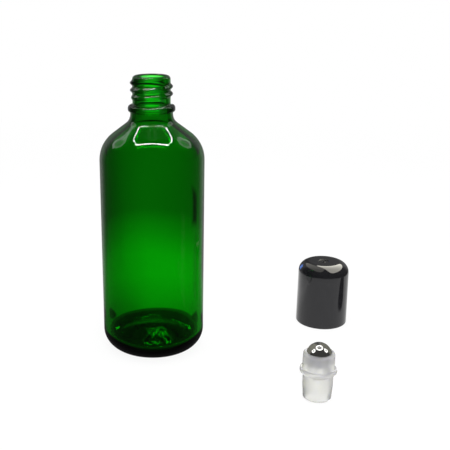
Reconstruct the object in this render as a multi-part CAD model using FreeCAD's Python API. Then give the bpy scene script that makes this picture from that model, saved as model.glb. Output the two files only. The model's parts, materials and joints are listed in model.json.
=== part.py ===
# Roll-on bottle: glass bottle, roller fitment and screw cap, standing apart on one floor.
# Millimetres, +Z up, origin at the middle of the bottle's standing ring, front towards -Y.

import FreeCAD, Part
import math
import os

Vector = FreeCAD.Vector
UP = Vector(0, 0, 1)

# Glass body
bottle_height = 120.2
body_diameter = 44.5
wall_thickness = 2.4
base_thickness = 5.0
base_crown = 0.9
heel_radius = 8.6
inside_heel_radius = 4.0
standing_ring_width = 1.9
push_up_height = 1.6
push_up_ramp = 2.2
push_up_round = 3.0
shoulder_slope = 37.0
shoulder_radius = 13.9
neck_flare_radius = 5.0
neck_diameter = 17.8
neck_straight = 1.0

# Neck finish, with depths measured from the rim
rim_to_bead = 12.2
bead_diameter = 19.8
bead_height = 2.6
bead_low_round = 0.8
bead_high_round = 1.3
bead_slope = 0.3
core_diameter = 15.9
rim_outer_round = 1.5
rim_inner_round = 0.45
bore_diameter = 11.9
bore_depth = 12.6
bore_flare = 1.2
neck_inside_diameter = 13.0

# Screw thread of neck and cap, right-handed
thread_diameter = 17.8
thread_pitch = 3.0
thread_foot_width = 1.9
thread_crest_width = 0.8
thread_run_out = 55.0
thread_end_sink = 0.15
thread_clearance = 0.35
neck_thread_turns = 1.93
neck_thread_drop = 2.9
neck_thread_end_angle = 185.0
cap_thread_turns = 1.3
cap_thread_drop = 4.6
cap_thread_end_angle = 90.0

# Roller fitment
ball_diameter = 10.0
ball_clearance = 0.06
ball_below_lip = 1.4
plug_clearance = 0.01
plug_length = 10.9
plug_taper = 0.45
plug_taper_length = 6.0
plug_wall = 1.5
plug_end_round = 0.6
flange_diameter = 14.5
flange_thickness = 2.0
flange_round = 0.9
head_diameter = 12.7
head_height = 6.7
head_taper = 0.2
head_round = 1.1
seat_hole_diameter = 5.4
seat_thickness = 2.0
seat_cone = 1.0
seat_slot_width = 1.5
seat_slot_count = 4

# Screw cap
cap_diameter = 23.8
cap_height = 30.0
cap_draft = 0.15
cap_top_radius = 5.0
cap_top_thickness = 2.4
cap_rim_round = 0.6
cap_mouth_chamfer = 0.4
cap_rim_gap = 0.6
gate_recess_diameter = 5.0
gate_recess_depth = 0.35
gate_nub_diameter = 1.6
gate_nub_drop = 0.08

# Seal, snapped into the top of the cap
seal_diameter = 16.4
seal_thickness = 1.6
seal_clearance = 0.1
seal_ring_diameter = 9.2
seal_ring_wall = 1.2
snap_bead_depth = 0.35
snap_bead_height = 0.7
seal_pocket_depth = 2.8

# Small roundings of glass and of plastic
glass_round = 0.4
plastic_round = 0.2

# Where the cap and the fitment stand, from the bottle's axis
cap_to_right = 80.3
cap_to_back = 25.0
fitment_to_right = 65.5
fitment_to_front = 50.0

# Places, heights and radii that several pieces share
cap_place = Vector(cap_to_right, cap_to_back, 0)
fitment_place = Vector(fitment_to_right, -fitment_to_front, 0)
body_radius = body_diameter / 2
core_radius = core_diameter / 2
bore_radius = bore_diameter / 2
thread_radius = thread_diameter / 2
ball_radius = ball_diameter / 2
flange_top = plug_length + flange_thickness
lip_height = flange_top + head_height
ball_height = lip_height - ball_below_lip
cap_to_rim = rim_to_bead - cap_rim_gap
cap_bore_radius = thread_radius + thread_clearance
cap_ceiling = cap_height - cap_top_thickness
seal_top = cap_ceiling - seal_clearance
seal_disc_low = seal_top - seal_thickness


def rounded_wire(corners):
    """Closed wire in the XZ plane. Each corner is (radius, height, rounding)."""
    count = len(corners)
    points = [Vector(radius, 0, height) for radius, height, rounding in corners]
    sides = [points[(index + 1) % count] - points[index] for index in range(count)]
    half_turns = [sides[index - 1].getAngle(sides[index]) / 2 for index in range(count)]
    tangents = [corners[index][2] * math.tan(half_turns[index]) for index in range(count)]
    shares = [1.0] * count
    for index in range(count):
        follower = (index + 1) % count
        wanted = tangents[index] + tangents[follower]
        if wanted > sides[index].Length:
            share = 0.999 * sides[index].Length / wanted
            shares[index] = min(shares[index], share)
            shares[follower] = min(shares[follower], share)
    edges = []
    last = None
    for index in range(count):
        corner = points[index]
        tangent = tangents[index] * shares[index]
        back = Vector(sides[index - 1]).normalize()
        ahead = Vector(sides[index]).normalize()
        start = corner - back * tangent
        end = corner + ahead * tangent
        if last is None:
            first = start
        elif last.distanceToPoint(start) > 1e-6:
            edges.append(Part.LineSegment(last, start).toShape())
        if tangent > 1e-6:
            rounding = corners[index][2] * shares[index]
            inward = (ahead - back).normalize()
            middle = corner + inward * (rounding / math.cos(half_turns[index]) - rounding)
            edges.append(Part.Arc(start, middle, end).toShape())
        last = end
    if last.distanceToPoint(first) > 1e-6:
        edges.append(Part.LineSegment(last, first).toShape())
    return Part.Wire(edges)


def turned(corners):
    """Solid of revolution about the Z axis."""
    return Part.Face(rounded_wire(corners)).revolve(Vector(0, 0, 0), UP, 360)


def thread_ridge(root, crest, turns, end_height, end_angle):
    """Helical ridge on a wall of radius root. Both ends sink back into the wall."""
    outward = 1 if crest > root else -1
    depth = abs(crest - root)
    sunk = depth / 4
    full_angle = turns * 360
    whole_angle = full_angle + 2 * thread_run_out
    steps = round(whole_angle / 15)
    path = []
    for step in range(steps + 1):
        angle = thread_run_out - whole_angle * (1 - step / steps)
        past_end = max(angle, -full_angle - angle, 0) / thread_run_out
        eased = past_end * past_end * (3 - 2 * past_end)
        radius = root - outward * eased * (depth + thread_end_sink)
        turn = math.radians(end_angle + angle)
        height = end_height + thread_pitch * angle / 360
        path.append(Vector(radius * math.cos(turn), radius * math.sin(turn), height))
    curve = Part.BSplineCurve()
    curve.interpolate(path)
    start = path[0]
    out = Vector(start.x, start.y, 0).normalize() * outward
    flank = (thread_foot_width - thread_crest_width) / 2 / depth
    foot = thread_foot_width / 2 + flank * sunk
    tip = thread_crest_width / 2
    section = Part.makePolygon([
        start - out * sunk - UP * foot,
        start + out * depth - UP * tip,
        start + out * depth + UP * tip,
        start - out * sunk + UP * foot,
        start - out * sunk - UP * foot,
    ])
    sweep = Part.BRepOffsetAPI.MakePipeShell(Part.Wire(curve.toShape()))
    sweep.setBiNormalMode(UP)
    sweep.add(section)
    sweep.build()
    sweep.makeSolid()
    ridge = sweep.shape()
    return ridge if ridge.Volume > 0 else ridge.reversed()


def glass_bottle():
    rise = math.tan(math.radians(shoulder_slope))
    wall_drop = wall_thickness / math.cos(math.radians(shoulder_slope))
    flare_tangent = neck_flare_radius * math.tan(math.radians(90 - shoulder_slope) / 2)
    neck_radius = neck_diameter / 2
    bead_radius = bead_diameter / 2
    bead_top = bottle_height - rim_to_bead
    bead_low = bead_top - bead_height
    flare = bead_low - neck_straight - flare_tangent
    knee = flare - (body_radius - neck_radius) * rise
    inside_radius = body_radius - wall_thickness
    inside_neck = neck_inside_diameter / 2
    inside_flare = knee - wall_drop + (body_radius - inside_neck) * rise
    inside_knee = knee - wall_drop + wall_thickness * rise
    ring_outer = body_radius - heel_radius
    ring_inner = ring_outer - standing_ring_width
    bore_low = bottle_height - bore_depth
    glass = turned([
        (0, push_up_height, 0),
        (ring_inner - push_up_ramp, push_up_height, push_up_round),
        (ring_inner, 0, glass_round),
        (body_radius, 0, heel_radius),
        (body_radius, knee, shoulder_radius),
        (neck_radius, flare, neck_flare_radius),
        (neck_radius, bead_low, glass_round / 2),
        (bead_radius, bead_low, bead_low_round),
        (bead_radius, bead_top, bead_high_round),
        (core_radius, bead_top + bead_slope, glass_round),
        (core_radius, bottle_height, rim_outer_round),
        (bore_radius, bottle_height, rim_inner_round),
        (bore_radius, bore_low, glass_round),
        (inside_neck, bore_low - bore_flare, glass_round),
        (inside_neck, inside_flare, neck_flare_radius + wall_thickness),
        (inside_radius, inside_knee, shoulder_radius - wall_thickness),
        (inside_radius, base_thickness, inside_heel_radius),
        (0, base_thickness + base_crown, 0),
    ])
    ridge = thread_ridge(core_radius, thread_radius, neck_thread_turns,
                         bottle_height - neck_thread_drop, neck_thread_end_angle)
    return glass.fuse(ridge)


def roller_housing():
    plug_radius = bore_radius - plug_clearance
    plug_bore = plug_radius - plug_wall
    head_radius = head_diameter / 2
    socket_radius = ball_radius + ball_clearance
    seat_radius = seat_hole_diameter / 2
    seat_top = ball_height - math.sqrt(socket_radius ** 2 - seat_radius ** 2)
    seat_low = seat_top - seat_thickness
    housing = turned([
        (plug_bore, 0, plastic_round),
        (plug_radius - plug_taper, 0, plug_end_round),
        (plug_radius, plug_taper_length, plug_taper_length),
        (plug_radius, plug_length, plastic_round),
        (flange_diameter / 2, plug_length, flange_round),
        (flange_diameter / 2, flange_top, flange_round),
        (head_radius, flange_top, plastic_round),
        (head_radius - head_taper, lip_height, head_round),
        (seat_radius, lip_height, 0),
        (seat_radius, seat_low, plastic_round),
        (plug_bore, seat_low - seat_cone, plastic_round),
    ])
    socket = Part.makeSphere(socket_radius, UP * ball_height)
    housing = housing.cut(socket)
    slot_low = seat_low - seat_cone
    slot = Part.makeBox(plug_bore - plastic_round, seat_slot_width, ball_height - slot_low)
    slot.translate(Vector(0, -seat_slot_width / 2, slot_low))
    for index in range(seat_slot_count):
        angle = 360 * (index + 0.5) / seat_slot_count
        housing = housing.cut(slot.rotated(Vector(0, 0, 0), UP, angle))
    return housing


def roller_ball():
    return Part.makeSphere(ball_radius, UP * ball_height)


def cap_shell():
    outer_radius = cap_diameter / 2
    pocket = seal_diameter / 2 + seal_clearance
    pocket_low = seal_disc_low - seal_pocket_depth
    snap_top = seal_disc_low - seal_clearance / 2
    snap_low = snap_top - snap_bead_height
    snap_slope = snap_bead_height / 3
    recess = gate_recess_diameter / 2
    recess_floor = cap_height - gate_recess_depth
    nub = gate_nub_diameter / 2
    nub_top = cap_height - gate_nub_drop
    shell = turned([
        (0, nub_top, 0),
        (nub - gate_nub_drop, nub_top, gate_nub_drop),
        (nub, recess_floor, gate_nub_drop),
        (recess - gate_nub_drop, recess_floor, gate_nub_drop),
        (recess, cap_height, plastic_round),
        (outer_radius - cap_draft, cap_height, cap_top_radius),
        (outer_radius, 0, cap_rim_round),
        (cap_bore_radius + cap_mouth_chamfer, 0, plastic_round),
        (cap_bore_radius, cap_mouth_chamfer, plastic_round),
        (cap_bore_radius, pocket_low - cap_bore_radius + pocket, plastic_round),
        (pocket, pocket_low, plastic_round),
        (pocket, snap_low, 0),
        (pocket - snap_bead_depth, snap_low + snap_slope, snap_bead_depth / 3),
        (pocket - snap_bead_depth, snap_top - snap_slope, snap_bead_depth / 3),
        (pocket, snap_top, 0),
        (pocket, cap_ceiling, 0),
        (0, cap_ceiling, 0),
    ])
    ridge = thread_ridge(cap_bore_radius, core_radius + thread_clearance, cap_thread_turns,
                         cap_to_rim - cap_thread_drop, cap_thread_end_angle)
    return shell.fuse(ridge)


def cap_seal():
    disc_radius = seal_diameter / 2
    ring_outer = seal_ring_diameter / 2
    ring_inner = ring_outer - seal_ring_wall
    seated_ball = cap_to_rim + ball_height - plug_length
    ring_low = seated_ball + math.sqrt(ball_radius ** 2 - ring_inner ** 2)
    return turned([
        (0, seal_disc_low, 0),
        (ring_inner, seal_disc_low, plastic_round),
        (ring_inner, ring_low, 0),
        (ring_outer, ring_low, plastic_round),
        (ring_outer, seal_disc_low, plastic_round),
        (disc_radius, seal_disc_low, plastic_round),
        (disc_radius, seal_top, plastic_round),
        (0, seal_top, 0),
    ])


pieces = {
    "bottle": glass_bottle(),
    "roller_housing": roller_housing().translated(fitment_place),
    "roller_ball": roller_ball().translated(fitment_place),
    "cap_shell": cap_shell().translated(cap_place),
    "cap_seal": cap_seal().translated(cap_place),
}

os.makedirs("parts", exist_ok=True)
for name, shape in pieces.items():
    solid = shape.removeSplitter().Solids[0]
    solid.exportStep("parts/" + name + ".step")
    box = solid.BoundBox
    print(name, len(shape.Solids), "solid, valid", solid.isValid(), "volume", round(solid.Volume, 1),
          "size", round(box.XLength, 2), round(box.YLength, 2), round(box.ZLength, 2))
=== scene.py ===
# Roll-on bottle: green glass bottle, roller fitment and black screw cap on a white studio floor.
# Sizes are in millimetres and turned into metres where meshes are made.

import json
import math

import bmesh
import bpy
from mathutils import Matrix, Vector


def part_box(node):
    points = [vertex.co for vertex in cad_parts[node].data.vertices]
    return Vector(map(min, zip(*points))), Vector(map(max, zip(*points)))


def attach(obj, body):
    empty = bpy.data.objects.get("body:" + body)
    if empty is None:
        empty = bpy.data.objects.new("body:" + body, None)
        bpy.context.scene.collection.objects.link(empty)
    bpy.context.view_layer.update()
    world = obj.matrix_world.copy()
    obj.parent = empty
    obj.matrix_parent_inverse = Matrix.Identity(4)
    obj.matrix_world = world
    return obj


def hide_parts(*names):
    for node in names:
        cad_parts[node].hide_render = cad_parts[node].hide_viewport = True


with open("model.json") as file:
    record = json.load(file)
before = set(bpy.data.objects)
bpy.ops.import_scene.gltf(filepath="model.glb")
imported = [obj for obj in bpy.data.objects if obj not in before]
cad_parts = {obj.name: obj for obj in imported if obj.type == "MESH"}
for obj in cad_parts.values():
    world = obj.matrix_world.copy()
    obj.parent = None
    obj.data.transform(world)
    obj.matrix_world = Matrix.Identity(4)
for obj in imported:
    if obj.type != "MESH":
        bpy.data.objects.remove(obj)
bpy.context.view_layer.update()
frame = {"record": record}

MM = 0.001
FULL_TURN = 2 * math.pi


# Sizes and places that the frame gives

def node_size(node, axis):
    """Size of a node along an axis, to the nearest thousandth of a millimetre."""
    low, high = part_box(node)
    return round((getattr(high, axis) - getattr(low, axis)) / MM, 3)


def node_middle(node):
    """Middle of a node's footprint on the floor, in millimetres."""
    low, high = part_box(node)
    middle = (Vector(low) + Vector(high)) / 2 / MM
    return Vector((middle.x, middle.y, 0))


mounts = {mount["name"]: mount for mount in frame["record"]["mounts"]}
bottle_height = node_size("bottle", "z")
body_radius = node_size("bottle", "x") / 2
bore_radius = mounts["neck_bore"]["dims"]["r_mm"]
lip_height = node_size("roller_housing", "z")
ball_radius = node_size("roller_ball", "z") / 2
cap_height = node_size("cap_shell", "z")
seal_radius = node_size("cap_seal", "x") / 2
cap_place = node_middle("cap_shell")
fitment_place = node_middle("roller_housing")

# Glass bottle
wall_thickness = 2.4
base_thickness = 5.0
base_crown = 0.9
heel_radius = 8.6
inside_heel_radius = 4.0
standing_ring_width = 1.9
push_up_height = 1.6
push_up_ramp = 2.2
push_up_round = 3.0
shoulder_slope = math.radians(37.0)
shoulder_radius = 13.9
neck_flare_radius = 5.0
neck_radius = 8.9
neck_straight = 1.0
glass_round = 0.4
wall_wave = 0.10
wall_wave_fade = 12.0
ring_wave_share = 0.5
ring_wave_rise = 8.0
ring_wave_sway = 2.0
base_mark_height = 0.6
base_mark_half_width = 0.8
base_mark_radius = 3.7
base_mark_squeeze = 0.48
base_mark_corners = 3
base_mark_corner_share = 0.25
base_mark_middles = (Vector((0.3, -8.0)), Vector((3.4, -7.0)))
seam_height = 0.035
seam_half_width = math.radians(0.55)
seam_fade = 0.25
knurl_depth = 0.12
knurl_count = 60

# Waves round the inside wall, as (share, lobes, rise for a radian, start)
lobe_waves = [(1.0, 2, 17.0, 0.0), (0.7, 3, -11.0, 1.3)]

# Neck finish, with depths measured from the rim
rim_to_bead = 12.2
bead_radius = 9.9
bead_height = 2.6
bead_low_round = 0.8
bead_high_round = 1.3
bead_slope = 0.3
core_radius = 7.95
rim_outer_round = 1.5
rim_inner_round = 0.45
bore_depth = 12.6
bore_flare = 1.2
neck_inside_radius = 6.5

# Screw thread of neck and cap, right-handed
thread_radius = 8.9
thread_pitch = 3.0
thread_half_width = 1.4
thread_run_out = 55.0
thread_end_sink = 0.15
thread_clearance = 0.35
neck_thread_turns = 1.93
neck_thread_drop = 2.9
neck_thread_end_angle = 185.0
cap_thread_turns = 1.3
cap_thread_drop = 4.6
cap_thread_end_angle = 90.0

# Roller fitment
ball_clearance = 0.06
ball_below_lip = 1.4
plug_radius = 5.94
plug_length = 10.9
plug_taper = 0.45
plug_taper_length = 6.0
plug_wall = 1.5
plug_end_round = 0.6
flange_radius = 7.25
flange_thickness = 2.0
flange_round = 0.9
head_radius = 6.35
head_taper = 0.2
head_round = 1.1
seat_hole_radius = 2.7
seat_thickness = 2.0
seat_cone = 1.0
seat_slot_width = 1.5
seat_slot_count = 4
seat_slot_edge = math.radians(0.05)
plastic_round = 0.2

# Screw cap and its seal
cap_radius = 11.9
cap_draft = 0.15
cap_top_radius = 5.0
cap_top_thickness = 2.4
cap_rim_round = 0.6
cap_mouth_chamfer = 0.4
cap_rim_gap = 0.6
gate_recess_radius = 2.5
gate_recess_depth = 0.35
gate_nub_radius = 0.8
gate_nub_drop = 0.08
seal_thickness = 1.6
seal_clearance = 0.1
seal_ring_radius = 4.6
seal_ring_wall = 1.2
snap_bead_depth = 0.35
snap_bead_height = 0.7
seal_pocket_depth = 2.8

# Camera of the photograph
camera_to_right = 8.1
camera_to_front = 337.5
camera_height = 160.0
camera_tilt = math.radians(17.16)
camera_lens = 65.03
camera_sensor = 36.0
camera_shift = 0.1206
camera_roll = math.radians(0.15)

# Cards beside the fitment
card_distance = 16.0
card_width = 24.0
card_height = 46.0

# Floor and surroundings, with levels as (share of a reach, of a full turn or of the rise, brightness)
down = Vector((0, 0, -1))
bottle_middle = Vector((0, 0, 0))
floor_half_width = 12000.0
floor_drop = 0.02
matt_level = 0.8
white_reach = Vector((600, 600, 600))
white_levels = [(0.0, 0.9), (0.3, 0.9), (1.0, 1.0)]
# Painted pool of light on the floor, that only glass shows
pool_reach = Vector((1000, 1000, 1000))
painted_pool_levels = [
    (0.0, 0.6), (0.045, 0.65), (0.06, 0.8), (0.09, 1.0),
    (0.12, 0.95), (0.16, 0.6), (0.216, 0.30), (1.0, 0.34),
]
# Painted shadow on the floor under and just behind the bottle, that glass shows
shadow_under_bottle_middle = Vector((0, 9, 0))
shadow_under_bottle_reach = Vector((30, 34, 34))
shadow_under_bottle_levels = [(0.0, 0.05), (0.76, 0.06), (0.8, 0.2), (0.96, 0.25), (1.0, 1.0)]
# Painted shade on the floor to the left and back left, that glass shows
left_shade_levels = [(0.0, 0.55), (0.25, 1.0), (0.76, 1.0), (0.80, 0.65), (0.83, 0.55), (1.0, 0.55)]
# Painted shade: a dark stripe on the floor behind the bottle, that shows near the right edge of the glass
shade_stripe_bearing_levels = [(0.678, 1.0), (0.688, 0.0), (0.704, 0.0), (0.709, 1.0)]
shade_stripe_distance_levels = [(0.18, 1.0), (0.20, 0.0), (0.28, 0.0), (0.31, 1.0)]
# Painted shadow: two dark wedges on the floor just behind the bottle on both sides
shadow_wedge_middles = (Vector((31, 26, 0)), Vector((-32, 31, 0)))
shadow_wedge_reach = Vector((9, 7, 7))
shadow_wedge_levels = [(0.0, 0.05), (0.8, 0.1), (1.0, 1.0)]

# What reflections show, painted on the floor and set in the surroundings: dark in front and straight behind,
# grey to both sides behind
mirrored_levels = [
    (0.0, 0.05), (0.50, 0.05), (0.58, 0.08), (0.64, 0.40), (0.70, 0.25),
    (0.75, 0.06), (0.80, 0.25), (0.86, 0.40), (0.92, 0.08), (1.0, 0.05),
]

# What glass shows far behind: bright in the middle and low down, dark to the sides and higher up
backlight_levels = [(0.0, 0.1), (0.68, 0.1), (0.72, 1.0), (0.78, 1.0), (0.82, 0.1), (1.0, 0.1)]
backlight_rise_levels = [(0.0, 0.3), (0.03, 0.3), (0.06, 0.9), (0.22, 0.9), (0.28, 0.05), (1.0, 0.05)]

# Watts for each square metre of a flat lamp, at a brightness of 1
lamp_power = 4.0

# Meshes and noise
fine_columns = 192
plain_columns = 128
sharp_angle = math.radians(38)
on_axis = 1e-6
touching = 1e-4
rounding_share = 0.999
noise_low = 0.3
noise_high = 0.7

# Heights and radii that several pieces share
flange_top = plug_length + flange_thickness
ball_height = lip_height - ball_below_lip
cap_to_rim = rim_to_bead - cap_rim_gap
cap_bore_radius = thread_radius + thread_clearance
cap_ceiling = cap_height - cap_top_thickness
seal_top = cap_ceiling - seal_clearance
seal_disc_low = seal_top - seal_thickness


# Outlines and turned meshes

def outline(corners, closed, arc_step=math.radians(5)):
    """Points along rounded corners. A corner is (radius, height, rounding, rows in the run after it)."""
    count = len(corners)
    spots = [Vector((corner[0], corner[1])) for corner in corners]
    sides = [spots[(index + 1) % count] - spots[index] for index in range(count)]
    turns = [sides[index - 1].angle(sides[index]) for index in range(count)]
    tangents = [corners[index][2] * math.tan(turns[index] / 2) for index in range(count)]
    shares = [1.0] * count
    for index in range(count):
        follower = (index + 1) % count
        wanted = tangents[index] + tangents[follower]
        if wanted > sides[index].length:
            share = rounding_share * sides[index].length / wanted
            shares[index] = min(shares[index], share)
            shares[follower] = min(shares[follower], share)
    points = []
    starts = []
    for index in range(count):
        rounding = corners[index][2] * shares[index]
        starts.append(len(points))
        if rounding == 0:
            points.append(spots[index])
            continue
        back = sides[index - 1].normalized()
        ahead = sides[index].normalized()
        inward = (ahead - back).normalized()
        centre = spots[index] + inward * rounding / math.cos(turns[index] / 2)
        start = spots[index] - back * tangents[index] * shares[index] - centre
        bend = 1 if back.x * ahead.y > back.y * ahead.x else -1
        steps = max(2, math.ceil(turns[index] / arc_step))
        for step in range(steps + 1):
            angle = bend * turns[index] * step / steps
            points.append(centre + Vector((start.x * math.cos(angle) - start.y * math.sin(angle),
                                           start.x * math.sin(angle) + start.y * math.cos(angle))))
    starts.append(len(points))
    filled = []
    for index in range(count):
        filled += points[starts[index]:starts[index + 1]]
        rows = corners[index][3] if len(corners[index]) > 3 else 0
        if index == count - 1 and not closed:
            break
        here = filled[-1]
        there = points[starts[index + 1] % len(points)]
        filled += [here.lerp(there, (row + 1) / (rows + 1)) for row in range(rows)]
    return [(point.x, point.y) for point in filled]


def turned(name, profile_at, angles, closed, place=Vector((0, 0, 0))):
    """Mesh object turned about the vertical through place.

    profile_at(angle) gives its (radius, height) points.
    """
    work = bmesh.new()
    columns = []
    poles = {}
    for angle in angles:
        column = []
        for row, (radius, height) in enumerate(profile_at(angle)):
            if radius < on_axis and row in poles:
                column.append(poles[row])
                continue
            spot = Vector((radius * math.cos(angle), radius * math.sin(angle), height))
            vertex = work.verts.new((place + spot) * MM)
            if radius < on_axis:
                poles[row] = vertex
            column.append(vertex)
        columns.append(column)
    rows = len(columns[0])
    for index, column in enumerate(columns):
        follower = columns[(index + 1) % len(columns)]
        for row in range(rows if closed else rows - 1):
            above = (row + 1) % rows
            ring = [column[row], follower[row], follower[above], column[above]]
            corners = list(dict.fromkeys(ring))
            work.faces.new(corners)
    bmesh.ops.recalc_face_normals(work, faces=work.faces)
    mesh = bpy.data.meshes.new(name)
    work.to_mesh(mesh)
    work.free()
    mesh.shade_smooth()
    mesh.set_sharp_from_angle(angle=sharp_angle)
    piece = bpy.data.objects.new(name, mesh)
    bpy.context.collection.objects.link(piece)
    return piece


def even_angles(count):
    """Angles of columns that stand evenly round a full turn."""
    return [FULL_TURN * index / count for index in range(count)]


def thread_height(angle, height, depth, turns, end_height, end_angle):
    """How far a screw thread stands out from its wall at this angle and height."""
    full_angle = turns * 360
    tallest = 0.0
    first_lap = math.floor((-full_angle - thread_run_out + end_angle) / 360) - 1
    last_lap = 2
    for lap in range(first_lap, last_lap + 1):
        along = math.degrees(angle) + 360 * lap - end_angle
        past_end = max(along, -full_angle - along, 0) / thread_run_out
        if past_end >= 1:
            continue
        eased = past_end * past_end * (3 - 2 * past_end)
        crest = depth - eased * (depth + thread_end_sink)
        away = abs(height - end_height - thread_pitch * along / 360) / thread_half_width
        if away < 1:
            tallest = max(tallest, crest * (0.5 + 0.5 * math.cos(math.pi * away)))
    return tallest


# Pieces

def base_marks(radius, angle):
    """Height of the two three-cornered ridges left on the inside base."""
    tallest = 0.0
    for middle in base_mark_middles:
        away = Vector((radius * math.cos(angle), radius * math.sin(angle))) - middle
        away.y *= base_mark_squeeze
        corner = math.cos(base_mark_corners * math.atan2(away.x, away.y))
        ridge = base_mark_radius * (1 + base_mark_corner_share * corner)
        tallest = max(tallest, math.exp(-((away.length - ridge) / base_mark_half_width) ** 2))
    return base_mark_height * tallest


def inside_wave(angle, height):
    """Unevenness of the blown inside: slow waves round and up the wall."""
    wave = 0.0
    for share, lobes, rise, start in lobe_waves:
        wave += share * math.sin(lobes * angle + height / rise + start)
    return wave + ring_wave_share * math.sin(height / ring_wave_rise + ring_wave_sway * math.sin(angle))


def glass_bottle():
    """Bottle in one piece, with thread, mould seams, knurled standing ring and wavy inside."""
    rise = math.tan(shoulder_slope)
    wall_drop = wall_thickness / math.cos(shoulder_slope)
    flare_tangent = neck_flare_radius * math.tan((math.pi / 2 - shoulder_slope) / 2)
    bead_top = bottle_height - rim_to_bead
    bead_low = bead_top - bead_height
    flare = bead_low - neck_straight - flare_tangent
    knee = flare - (body_radius - neck_radius) * rise
    inside_radius = body_radius - wall_thickness
    inside_flare = knee - wall_drop + (body_radius - neck_inside_radius) * rise
    inside_knee = knee - wall_drop + wall_thickness * rise
    ring_outer = body_radius - heel_radius
    ring_inner = ring_outer - standing_ring_width
    bore_low = bottle_height - bore_depth
    base_top = base_thickness + base_crown
    points = outline([
        (0, push_up_height, 0, 6),
        (ring_inner - push_up_ramp, push_up_height, push_up_round),
        (ring_inner, 0, glass_round, 4),
        (body_radius, 0, heel_radius, 24),
        (body_radius, knee, shoulder_radius, 4),
        (neck_radius, flare, neck_flare_radius),
        (neck_radius, bead_low, glass_round / 2),
        (bead_radius, bead_low, bead_low_round),
        (bead_radius, bead_top, bead_high_round),
        (core_radius, bead_top + bead_slope, glass_round, 90),
        (core_radius, bottle_height, rim_outer_round),
        (bore_radius, bottle_height, rim_inner_round, 12),
        (bore_radius, bore_low, glass_round),
        (neck_inside_radius, bore_low - bore_flare, glass_round),
        (neck_inside_radius, inside_flare, neck_flare_radius + wall_thickness, 4),
        (inside_radius, inside_knee, shoulder_radius - wall_thickness, 30),
        (inside_radius, base_thickness, inside_heel_radius, 70),
        (0, base_top, 0),
    ], closed=False)
    top_row = max(range(len(points)), key=lambda row: points[row][1])

    def profile_at(angle):
        seam_away = min(abs(math.remainder(angle, math.pi)) / seam_half_width, 1.0)
        seam = seam_height * (1 - seam_away * seam_away)
        shaped = []
        for row, (radius, height) in enumerate(points):
            if row <= top_row:
                on_core = abs(radius - core_radius) < touching and height > bead_top
                if on_core:
                    radius += thread_height(angle, height, thread_radius - core_radius, neck_thread_turns,
                                            bottle_height - neck_thread_drop, neck_thread_end_angle)
                elif heel_radius < height < bead_low:
                    radius += seam * min((body_radius - radius) / seam_fade, 1.0)
                elif height < touching and radius > ring_inner:
                    height = knurl_depth * (0.5 - 0.5 * math.cos(knurl_count * angle))
            elif base_top < height < bore_low:
                fade_low = min((height - base_top) / wall_wave_fade, 1.0)
                fade_high = min((bore_low - height) / wall_wave_fade, 1.0)
                radius += wall_wave * fade_low * fade_high * inside_wave(angle, height)
            elif height <= base_top:
                height += base_marks(radius, angle)
            shaped.append((max(radius, 0.0), height))
        return shaped

    angles = even_angles(fine_columns)
    for middle in (0.0, math.pi):
        angles += [(middle + share * seam_half_width) % FULL_TURN for share in (-1, -0.5, 0.5, 1)]
    bottle = turned("glass_bottle", profile_at, sorted(angles), closed=False)
    return dress(bottle, "bottle", "bottle", green_glass())


def roller_housing():
    """Plug with flange and ball socket, and with slots in the seat under the ball."""
    plug_bore = plug_radius - plug_wall
    socket_radius = ball_radius + ball_clearance
    slot_end = plug_bore - plastic_round
    slot_half = seat_slot_width / 2 / seat_hole_radius
    seat_top = ball_height - math.sqrt(socket_radius ** 2 - seat_hole_radius ** 2)
    seat_low = seat_top - seat_thickness
    lip_angle = math.asin(ball_below_lip / socket_radius)
    slot_middles = [FULL_TURN * (index + 0.5) / seat_slot_count for index in range(seat_slot_count)]
    lip_radius = socket_radius * math.cos(lip_angle)
    outer = [
        (plug_bore, 0, plastic_round),
        (plug_radius - plug_taper, 0, plug_end_round),
        (plug_radius, plug_taper_length, plug_taper_length, 3),
        (plug_radius, plug_length, plastic_round),
        (flange_radius, plug_length, flange_round),
        (flange_radius, flange_top, flange_round),
        (head_radius, flange_top, plastic_round, 3),
        (head_radius - head_taper, lip_height, head_round),
        (lip_radius, lip_height, 0),
    ]
    socket_rows = 24

    def profile_at(angle):
        in_slot = any(abs(math.remainder(angle - middle, FULL_TURN)) < slot_half for middle in slot_middles)
        hole = slot_end if in_slot else seat_hole_radius
        last = -math.acos(hole / socket_radius)
        arc = []
        for row in range(1, socket_rows + 1):
            turn = lip_angle + (last - lip_angle) * row / socket_rows
            arc.append((socket_radius * math.cos(turn), ball_height + socket_radius * math.sin(turn), 0))
        seat = [(hole, seat_low, 0), (plug_bore, seat_low - seat_cone, 0, 6)]
        return outline(outer + arc + seat, closed=True)

    angles = even_angles(plain_columns)
    for middle in slot_middles:
        for side in (-1, 1):
            angles.append(middle + side * (slot_half - seat_slot_edge))
            angles.append(middle + side * (slot_half + seat_slot_edge))
    housing = turned("roller_housing_moulded", profile_at, sorted(angles), True, fitment_place)
    return dress(housing, "fitment", "roller_housing", frosted_plastic())


def roller_ball():
    """Ball that lies in the housing's socket."""
    rows = 64
    turns = [math.pi * (row / rows - 0.5) for row in range(rows + 1)]
    points = [(ball_radius * math.cos(turn), ball_height + ball_radius * math.sin(turn)) for turn in turns]
    angles = even_angles(plain_columns)
    ball = turned("roller_ball_polished", lambda angle: points, angles, False, fitment_place)
    return dress(ball, "ball", "roller_ball", polished_ball())


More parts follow.
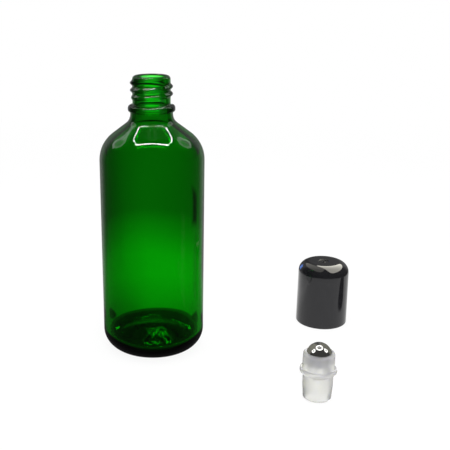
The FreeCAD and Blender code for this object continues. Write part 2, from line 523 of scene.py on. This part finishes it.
def cap_shell():
    """Cap with gate mark, inside thread, snap bead and a pocket for the seal."""
    pocket = seal_radius + seal_clearance
    pocket_low = seal_disc_low - seal_pocket_depth
    snap_top = seal_disc_low - seal_clearance / 2
    snap_low = snap_top - snap_bead_height
    snap_slope = snap_bead_height / 3
    recess_floor = cap_height - gate_recess_depth
    nub_top = cap_height - gate_nub_drop
    points = outline([
        (0, nub_top, 0),
        (gate_nub_radius - gate_nub_drop, nub_top, gate_nub_drop),
        (gate_nub_radius, recess_floor, gate_nub_drop),
        (gate_recess_radius - gate_nub_drop, recess_floor, gate_nub_drop),
        (gate_recess_radius, cap_height, plastic_round, 4),
        (cap_radius - cap_draft, cap_height, cap_top_radius, 10),
        (cap_radius, 0, cap_rim_round),
        (cap_bore_radius + cap_mouth_chamfer, 0, plastic_round),
        (cap_bore_radius, cap_mouth_chamfer, plastic_round, 100),
        (cap_bore_radius, pocket_low - cap_bore_radius + pocket, plastic_round),
        (pocket, pocket_low, plastic_round),
        (pocket, snap_low, 0),
        (pocket - snap_bead_depth, snap_low + snap_slope, snap_bead_depth / 3),
        (pocket - snap_bead_depth, snap_top - snap_slope, snap_bead_depth / 3),
        (pocket, snap_top, 0),
        (pocket, cap_ceiling, 0, 4),
        (0, cap_ceiling, 0),
    ], closed=False)
    depth = cap_bore_radius - core_radius - thread_clearance

    def profile_at(angle):
        shaped = []
        for radius, height in points:
            if abs(radius - cap_bore_radius) < touching:
                radius -= thread_height(angle, height, depth, cap_thread_turns,
                                        cap_to_rim - cap_thread_drop, cap_thread_end_angle)
            shaped.append((radius, height))
        return shaped

    cap = turned("cap_shell_moulded", profile_at, even_angles(fine_columns), False, cap_place)
    return dress(cap, "cap", "cap_shell", cap_plastic())


def cap_seal():
    """Seal disc with the ring that presses on the ball when the cap is screwed down."""
    ring_inner = seal_ring_radius - seal_ring_wall
    seated_ball = cap_to_rim + ball_height - plug_length
    ring_low = seated_ball + math.sqrt(ball_radius ** 2 - ring_inner ** 2)
    points = outline([
        (0, seal_disc_low, 0, 2),
        (ring_inner, seal_disc_low, plastic_round),
        (ring_inner, ring_low, 0),
        (seal_ring_radius, ring_low, plastic_round),
        (seal_ring_radius, seal_disc_low, plastic_round),
        (seal_radius, seal_disc_low, plastic_round),
        (seal_radius, seal_top, plastic_round),
        (0, seal_top, 0),
    ], closed=False)
    angles = even_angles(plain_columns)
    seal = turned("cap_seal_moulded", lambda angle: points, angles, False, cap_place)
    return dress(seal, "seal", "cap_seal", seal_plastic())


def dress(piece, body, node, material):
    """Give a piece its material, and let it replace its solid and ride on its body."""
    piece.data.materials.append(material)
    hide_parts(node)
    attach(piece, body)
    return piece


# Materials

def surface(name):
    """New material with its node tree and principled shader."""
    material = bpy.data.materials.new(name)
    material.use_nodes = True
    return material, material.node_tree, material.node_tree.nodes["Principled BSDF"]


def set_inputs(shader, **values):
    """Set inputs of a shader by their labels, with underscores for spaces."""
    for label, value in values.items():
        shader.inputs[label.replace("_", " ")].default_value = value


def noise(tree, scale, detail=4.0, stretch=(1, 1, 1)):
    """Noise in the piece's own coordinates. The scale is in waves per metre."""
    coordinates = tree.nodes.new("ShaderNodeTexCoord")
    mapping = tree.nodes.new("ShaderNodeMapping")
    mapping.inputs["Scale"].default_value = stretch
    texture = tree.nodes.new("ShaderNodeTexNoise")
    texture.inputs["Scale"].default_value = scale
    texture.inputs["Detail"].default_value = detail
    tree.links.new(coordinates.outputs["Object"], mapping.inputs["Vector"])
    tree.links.new(mapping.outputs["Vector"], texture.inputs["Vector"])
    return texture.outputs["Fac"]


def roughen(tree, shader, value, low, high):
    """Roughness from low to high by a noise value."""
    spread = tree.nodes.new("ShaderNodeMapRange")
    spread.inputs["From Min"].default_value = noise_low
    spread.inputs["From Max"].default_value = noise_high
    spread.inputs["To Min"].default_value = low
    spread.inputs["To Max"].default_value = high
    tree.links.new(value, spread.inputs["Value"])
    tree.links.new(spread.outputs["Result"], shader.inputs["Roughness"])


def bumps(tree, shader, value, strength, height):
    """Fine unevenness by a noise value. The height is in millimetres."""
    bump = tree.nodes.new("ShaderNodeBump")
    bump.inputs["Strength"].default_value = strength
    bump.inputs["Distance"].default_value = height * MM
    tree.links.new(value, bump.inputs["Height"])
    tree.links.new(bump.outputs["Normal"], shader.inputs["Normal"])


def tint(tree, shader, value, dark, light):
    """Colour from dark to light by a noise value."""
    mix = tree.nodes.new("ShaderNodeMix")
    mix.data_type = "RGBA"
    mix.inputs["A"].default_value = (*dark, 1)
    mix.inputs["B"].default_value = (*light, 1)
    tree.links.new(value, mix.inputs["Factor"])
    tree.links.new(mix.outputs["Result"], shader.inputs["Base Color"])


def green_glass():
    """Clear glass, green by its depth, with a slight ripple."""
    material, tree, shader = surface("green_glass")
    set_inputs(shader, Base_Color=(0.75, 0.97, 0.75, 1), Transmission_Weight=1.0, IOR=1.52,
               Specular_Tint=(0.4, 0.4, 0.4, 1))
    roughen(tree, shader, noise(tree, scale=60), low=0.0, high=0.012)
    bumps(tree, shader, noise(tree, scale=90, detail=2.0, stretch=(1, 1, 0.45)), strength=0.06, height=0.05)
    absorption = tree.nodes.new("ShaderNodeVolumeAbsorption")
    set_inputs(absorption, Color=(0.0, 0.838, 0.0, 1), Density=1330.0)
    output = tree.nodes["Material Output"]
    tree.links.new(absorption.outputs["Volume"], output.inputs["Volume"])
    return material


def frosted_plastic():
    """Milky plastic that light shines through, with a fine matt skin."""
    material, tree, shader = surface("frosted_plastic")
    set_inputs(shader, Transmission_Weight=0.72, IOR=1.49, Subsurface_Weight=1.0,
               Subsurface_Radius=(1.0, 1.0, 0.85), Subsurface_Scale=0.006)
    tint(tree, shader, noise(tree, scale=250), dark=(0.93, 0.93, 0.87), light=(0.97, 0.97, 0.92))
    roughen(tree, shader, noise(tree, scale=900), low=0.18, high=0.26)
    bumps(tree, shader, noise(tree, scale=2600, detail=3.0), strength=0.1, height=0.02)
    return material


def polished_ball():
    """Polished steel with fine lines of polish."""
    material, tree, shader = surface("polished_ball")
    set_inputs(shader, Base_Color=(0.76, 0.75, 0.72, 1), Metallic=1.0)
    roughen(tree, shader, noise(tree, scale=3000, detail=8.0, stretch=(1, 0.08, 1)), low=0.03, high=0.09)
    return material


def cap_plastic():
    """Glossy black plastic, not quite even."""
    material, tree, shader = surface("cap_plastic")
    set_inputs(shader, IOR=1.5)
    tint(tree, shader, noise(tree, scale=400), dark=(0.004, 0.004, 0.005), light=(0.007, 0.007, 0.008))
    roughen(tree, shader, noise(tree, scale=700, detail=6.0), low=0.015, high=0.05)
    bumps(tree, shader, noise(tree, scale=140, detail=1.0), strength=0.15, height=0.03)
    return material


def seal_plastic():
    """Soft white plastic."""
    material, tree, shader = surface("seal_plastic")
    set_inputs(shader, IOR=1.51, Subsurface_Weight=0.5, Subsurface_Radius=(1.0, 1.0, 0.9),
               Subsurface_Scale=0.0015)
    tint(tree, shader, noise(tree, scale=300), dark=(0.78, 0.78, 0.75), light=(0.86, 0.86, 0.84))
    roughen(tree, shader, noise(tree, scale=800), low=0.38, high=0.5)
    bumps(tree, shader, noise(tree, scale=2000, detail=3.0), strength=0.2, height=0.02)
    return material


# Studio

def camera():
    """Camera at the place and with the lens that the photograph shows."""
    data = bpy.data.cameras.new("camera")
    data.sensor_width = camera_sensor
    data.lens = camera_lens
    data.shift_x = camera_shift
    data.clip_start = 0.01
    data.clip_end = 100
    view = bpy.data.objects.new("camera", data)
    view.location = Vector((camera_to_right, -camera_to_front, camera_height)) * MM
    view.rotation_euler = (math.pi / 2 - camera_tilt, camera_roll, 0)
    bpy.context.collection.objects.link(view)
    bpy.context.scene.camera = view


def flat_face(name, corners, material):
    """Studio object of one flat face. Corners are in millimetres."""
    mesh = bpy.data.meshes.new(name)
    mesh.from_pydata([corner * MM for corner in corners], [], [range(len(corners))])
    mesh.materials.append(material)
    thing = bpy.data.objects.new(name, mesh)
    bpy.context.collection.objects.link(thing)
    return thing


def ramp_levels(tree, value, levels):
    """Grey level by a value from 0 to 1. Levels are (value, level)."""
    ramp = tree.nodes.new("ShaderNodeValToRGB")
    stops = ramp.color_ramp.elements
    while len(stops) < len(levels):
        stops.new(0.5)
    for stop, (share, level) in zip(stops, levels):
        stop.position = share
        stop.color = (level, level, level, 1)
    tree.links.new(value, ramp.inputs["Fac"])
    return ramp.outputs["Color"]


def level_by_distance(tree, middle, reach, levels):
    """Brightness by distance from a place. Levels are (distance as a share of reach, level)."""
    place = tree.nodes.new("ShaderNodeNewGeometry")
    away = tree.nodes.new("ShaderNodeVectorMath")
    away.operation = "SUBTRACT"
    away.inputs[1].default_value = middle * MM
    scaled = tree.nodes.new("ShaderNodeVectorMath")
    scaled.operation = "DIVIDE"
    scaled.inputs[1].default_value = reach * MM
    length = tree.nodes.new("ShaderNodeVectorMath")
    length.operation = "LENGTH"
    tree.links.new(place.outputs["Position"], away.inputs[0])
    tree.links.new(away.outputs["Vector"], scaled.inputs[0])
    tree.links.new(scaled.outputs["Vector"], length.inputs[0])
    return ramp_levels(tree, length.outputs["Value"], levels)


def level_by_bearing(tree, direction, levels):
    """Brightness by the bearing of a direction, as (turn from -X, level).

    The front is at 0.25, the right at 0.5 and the back at 0.75.
    """
    bearing = tree.nodes.new("ShaderNodeTexGradient")
    bearing.gradient_type = "RADIAL"
    tree.links.new(direction, bearing.inputs["Vector"])
    return ramp_levels(tree, bearing.outputs["Fac"], levels)


def lit(tree, level):
    """White emission at a level that the nodes give."""
    emission = tree.nodes.new("ShaderNodeEmission")
    tree.links.new(level, emission.inputs["Strength"])
    return emission.outputs["Emission"]


def choose(tree, share, first, second):
    """First shader where share is 0, second where it is 1."""
    mix = tree.nodes.new("ShaderNodeMixShader")
    tree.links.new(share, mix.inputs["Fac"])
    tree.links.new(first, mix.inputs[1])
    tree.links.new(second, mix.inputs[2])
    return mix.outputs["Shader"]


def combine(tree, operation, first, second):
    """Value of a calculation with two values."""
    result = tree.nodes.new("ShaderNodeMath")
    result.operation = operation
    tree.links.new(first, result.inputs[0])
    tree.links.new(second, result.inputs[1])
    return result.outputs["Value"]


def blend_levels(tree, share, first, second):
    """First level where share is 0, second where it is 1. A level is a number or a node's output."""
    mix = tree.nodes.new("ShaderNodeMix")
    tree.links.new(share, mix.inputs["Factor"])
    for socket, level in (("A", first), ("B", second)):
        if isinstance(level, float):
            mix.inputs[socket].default_value = level
        else:
            tree.links.new(level, mix.inputs[socket])
    return mix.outputs["Result"]


def painted_light_pool(tree, place):
    """Painted pool of light on the floor as the glass shows it: bright round the bottle, painted shadow
    under it and painted shade to the left.

    A painted dark stripe shows near the right edge of the glass, two painted shadow wedges show low on both
    sides.
    """
    shade_stripe_bearing = level_by_bearing(tree, place, shade_stripe_bearing_levels)
    shade_stripe_distance = level_by_distance(tree, bottle_middle, pool_reach, shade_stripe_distance_levels)
    layers = [
        level_by_distance(tree, shadow_under_bottle_middle, shadow_under_bottle_reach, shadow_under_bottle_levels),
        level_by_bearing(tree, place, left_shade_levels),
        combine(tree, "MAXIMUM", shade_stripe_bearing, shade_stripe_distance),
    ]
    for middle in shadow_wedge_middles:
        layers.append(level_by_distance(tree, middle, shadow_wedge_reach, shadow_wedge_levels))
    pool = level_by_distance(tree, bottle_middle, pool_reach, painted_pool_levels)
    for layer in layers:
        pool = combine(tree, "MULTIPLY", pool, layer)
    return pool


def floor():
    """White floor. Reflections show painted levels on it by its bearing from the bottle, glass shows it as a
    painted pool of light with painted shadows.
    """
    material, tree, shader = surface("white_floor")
    set_inputs(shader, Base_Color=(0.9, 0.9, 0.9, 1), Roughness=0.9, Specular_IOR_Level=0.0)
    rays = tree.nodes.new("ShaderNodeLightPath")
    place = tree.nodes.new("ShaderNodeNewGeometry").outputs["Position"]
    pool = painted_light_pool(tree, place)
    mirrored = level_by_bearing(tree, place, mirrored_levels)
    white = level_by_distance(tree, bottle_middle, white_reach, white_levels)
    full = tree.nodes.new("ShaderNodeEmission")
    seen = choose(tree, rays.outputs["Is Glossy Ray"], shader.outputs["BSDF"], lit(tree, mirrored))
    seen = choose(tree, rays.outputs["Is Transmission Ray"], seen, lit(tree, pool))
    shown = combine(tree, "MULTIPLY", rays.outputs["Is Camera Ray"], white)
    seen = choose(tree, shown, seen, full.outputs["Emission"])
    tree.links.new(seen, tree.nodes["Material Output"].inputs["Surface"])
    sides = ((-1, -1), (1, -1), (1, 1), (-1, 1))
    corners = [Vector((x * floor_half_width, y * floor_half_width, -floor_drop)) for x, y in sides]
    flat_face("floor", corners, material)


def surroundings():
    """White for the camera, dim on matt surfaces, darker in reflections.

    Through glass they are bright only low down and straight behind.
    """
    world = bpy.data.worlds.new("studio")
    bpy.context.scene.world = world
    world.use_nodes = True
    tree = world.node_tree
    background = tree.nodes["Background"]
    background.inputs["Color"].default_value = (1, 1, 1, 1)
    rays = tree.nodes.new("ShaderNodeLightPath")
    direction = tree.nodes.new("ShaderNodeTexCoord").outputs["Generated"]
    parts = tree.nodes.new("ShaderNodeSeparateXYZ")
    tree.links.new(direction, parts.inputs["Vector"])
    through = ramp_levels(tree, parts.outputs["Z"], backlight_rise_levels)
    through = combine(tree, "MULTIPLY", through, level_by_bearing(tree, direction, backlight_levels))
    level = level_by_bearing(tree, direction, mirrored_levels)
    level = blend_levels(tree, rays.outputs["Is Diffuse Ray"], level, matt_level)
    level = blend_levels(tree, rays.outputs["Is Transmission Ray"], level, through)
    level = blend_levels(tree, rays.outputs["Is Camera Ray"], level, 1.0)
    tree.links.new(level, background.inputs["Strength"])


# Lamps

def area_lamp(name, place, facing, width, depth, shape="RECTANGLE"):
    """Flat lamp at place that shines along facing."""
    data = bpy.data.lights.new(name, "AREA")
    data.shape = shape
    data.size = width * MM
    data.size_y = depth * MM
    lamp = bpy.data.objects.new(name, data)
    lamp.location = place * MM
    lamp.rotation_euler = (-facing).to_track_quat("Z", "Y").to_euler()
    lamp.visible_camera = False
    bpy.context.collection.objects.link(lamp)
    return lamp


def shine_on(lamp, piece, level, colour=(1, 1, 1)):
    """Show a lamp of this brightness on one piece only. Returns its node tree."""
    data = lamp.data
    area = data.size * data.size_y * (math.pi / 4 if data.shape == "ELLIPSE" else 1)
    data.energy = lamp_power * area * level
    data.color = colour
    receivers = bpy.data.collections.new(lamp.name + "_receivers")
    receivers.objects.link(piece)
    lamp.light_linking.receiver_collection = receivers
    data.use_nodes = True
    return data.node_tree


def shade_lamp(tree, level):
    """Let a level from the nodes weaken a lamp from place to place."""
    tree.links.new(level, tree.nodes["Emission"].inputs["Strength"])


def round_lamp(name, piece, aim, rise, side, reach, radius, level, levels):
    """Round lamp that one piece reflects, with its rise and side in degrees as seen from aim.

    Levels are (share of the radius, share of the level).
    """
    rise = math.radians(rise)
    side = math.radians(side)
    away = Vector((math.cos(rise) * math.sin(side), math.cos(rise) * math.cos(side), math.sin(rise)))
    place = aim + away * reach
    tree = shine_on(area_lamp(name, place, -away, 2 * radius, 2 * radius, "ELLIPSE"), piece, level)
    shade_lamp(tree, level_by_distance(tree, place, Vector((radius, radius, radius)), levels))


def light_frame(bottle):
    """Four glowing bars overhead, seen as a thin outline on the bottle's shoulder."""
    left = -216
    right = 240
    front = -50
    back = 170
    height = 580
    bar = 12
    front_bar = 44
    bars = [
        (left - bar, right + bar, front - front_bar, front),
        (left - bar, right + bar, back, back + bar),
        (left - bar, left, front, back),
        (right, right + bar, front, back),
    ]
    for index, (low_x, high_x, low_y, high_y) in enumerate(bars):
        place = Vector((low_x + high_x, low_y + high_y, 2 * height)) / 2
        lamp = area_lamp("light_frame_" + str(index), place, down, high_x - low_x, high_y - low_y)
        shine_on(lamp, bottle, level=40.0)


def neck_light(bottle):
    """Small light behind the neck, seen through the grooves of its thread."""
    lamp = area_lamp("neck_light", Vector((0, 60, 106)), Vector((0, -1, 0)), width=22, depth=17)
    shine_on(lamp, bottle, level=1.1)


def base_light(bottle):
    """Small light that faces down behind the bottle, where only the ridges on its inside base mirror it."""
    lamp = area_lamp("base_light", Vector((2, 60, 40)), down, width=22, depth=12)
    lamp.visible_glossy = False
    shine_on(lamp, bottle, level=16.0)


def round_lamps(bottle, ball):
    """Dim spots on both sides of the shoulder, two spots and a ring on the ball."""
    shoulder = Vector((0, 0, 95))
    ball_middle = fitment_place + Vector((0, 0, ball_height))
    for side, name in ((-1, "left"), (1, "right")):
        round_lamp("shoulder_" + name, bottle, shoulder, rise=38, side=63 * side, reach=520, radius=130,
                   level=1.5, levels=[(0.0, 0.4), (0.5, 0.4), (0.7, 1.0)])
        round_lamp("ball_" + name, ball, ball_middle, rise=38, side=97 * side, reach=300, radius=88,
                   level=1.5, levels=[(0.35, 0.15), (0.45, 1.0)])
    round_lamp("ball_top", ball, ball_middle, rise=89, side=0, reach=280, radius=140,
               level=2.0, levels=[(0.62, 0.1), (0.70, 1.0)])


def cap_lights(cap):
    """Soft light over the cap's right side, a dimmer one over its left and a small blue glint."""
    warm = (1.0, 0.97, 0.86)
    blue = (0.12, 0.3, 1.0)
    over_right = cap_place + Vector((270, 245, 420))
    over_left = cap_place + Vector((-140, 240, 420))
    glint_away = Vector((-162, 249, 60))
    right = area_lamp("cap_light_right", over_right, down, width=500, depth=1110, shape="ELLIPSE")
    shine_on(right, cap, level=4.6, colour=warm)
    left = area_lamp("cap_light_left", over_left, down, width=360, depth=920, shape="ELLIPSE")
    shine_on(left, cap, level=0.85, colour=warm)
    glint = area_lamp("cap_glint", cap_place + glint_away, -glint_away, width=80, depth=120)
    shine_on(glint, cap, level=2.9, colour=blue)


def cap_screen(cap):
    """Low screen of light before the bottle that covers its dark image on the cap."""
    screen_width = 30
    screen_height = 11
    screen_top = Vector((0, 0, 12))
    gap_to_glass = 0.5
    screen_reach = Vector((14, 14, 10.5))
    screen_levels = [(0.0, 0.62), (0.85, 0.62), (1.0, 0.0)]
    to_cap = cap_place.normalized()
    top = to_cap * (body_radius + gap_to_glass) + screen_top
    middle = top + down * screen_height / 2
    tree = shine_on(area_lamp("cap_screen", middle, to_cap, screen_width, screen_height), cap, level=1.0)
    shade_lamp(tree, level_by_distance(tree, top, screen_reach, screen_levels))


def cap_floor(cap):
    """Pale floor round the cap that its side mirrors, with a dark drop at the right."""
    place = cap_place + Vector((0, -30, 0.05))
    pale_reach = Vector((150, 150, 150))
    pale_levels = [(0.0, 0.66), (0.5, 0.66), (1.0, 0.40)]
    drop_middle = cap_place + Vector((68, -14, 0))
    drop_reach = Vector((44, 15, 20))
    drop_levels = [(0.85, 0.0), (1.0, 1.0)]
    tree = shine_on(area_lamp("cap_floor", place, -down, width=200, depth=260), cap, level=1.0)
    pale = level_by_distance(tree, cap_place, pale_reach, pale_levels)
    drop = level_by_distance(tree, drop_middle, drop_reach, drop_levels)
    shade_lamp(tree, combine(tree, "MULTIPLY", pale, drop))


def fitment_lights(housing):
    """Lights behind and beside the fitment that shine through its plastic. Reflections don't show it."""
    housing.visible_glossy = False
    lights = (
        ("back", Vector((0, 70, 10)), 300, 3.2),
        ("left", Vector((-90, 20, 10)), 120, 1.2),
        ("right", Vector((90, 20, 10)), 120, 1.2),
    )
    for name, away, width, level in lights:
        lamp = area_lamp("fitment_light_" + name, fitment_place + away, -away, width, depth=110)
        shine_on(lamp, housing, level)


def fitment_cards():
    """Grey cards on both sides of the fitment, clear from behind, that only reflections show: painted grey
    reflections, the left one in place of the bottle's image.
    """
    material, tree, shader = surface("painted_reflection_card")
    set_inputs(shader, Base_Color=(0.15, 0.15, 0.13, 1), Roughness=1.0, Specular_IOR_Level=0.0)
    clear = tree.nodes.new("ShaderNodeBsdfTransparent")
    sides = tree.nodes.new("ShaderNodeNewGeometry")
    seen = choose(tree, sides.outputs["Backfacing"], shader.outputs["BSDF"], clear.outputs["BSDF"])
    tree.links.new(seen, tree.nodes["Material Output"].inputs["Surface"])
    to_bottle = -fitment_place.normalized()
    for name, mirror in (("left", 1), ("right", -1)):
        away = Vector((mirror * to_bottle.x, to_bottle.y, 0))
        aside = Vector((-away.y, away.x, 0)) * card_width / 2
        low = fitment_place + away * card_distance
        high = low + Vector((0, 0, card_height))
        card = flat_face("card_" + name, (low - aside, high - aside, high + aside, low + aside), material)
        card.visible_camera = False
        card.visible_diffuse = False
        card.visible_transmission = False
        card.visible_shadow = False


def soft_lamp(name, place, aim, size, power):
    """Soft fill light that shows in no reflection."""
    lamp = area_lamp(name, place, aim - place, size, size, "ELLIPSE")
    lamp.data.energy = power
    lamp.visible_glossy = False
    lamp.visible_transmission = False


# Pieces in their places

bottle = glass_bottle()
housing = roller_housing()
ball = roller_ball()
cap = cap_shell()
cap_seal()

# Studio round the pieces

bpy.context.scene.view_settings.view_transform = "Standard"
camera()
floor()
surroundings()
light_frame(bottle)
neck_light(bottle)
base_light(bottle)
round_lamps(bottle, ball)
cap_lights(cap)
cap_screen(cap)
cap_floor(cap)
fitment_lights(housing)
fitment_cards()
soft_lamp("soft_top", Vector((20, 0, 550)), Vector((20, 0, 0)), size=400, power=1.6)
soft_lamp("soft_front", Vector((140, -600, 300)), Vector((50, 0, 20)), size=400, power=3.0)
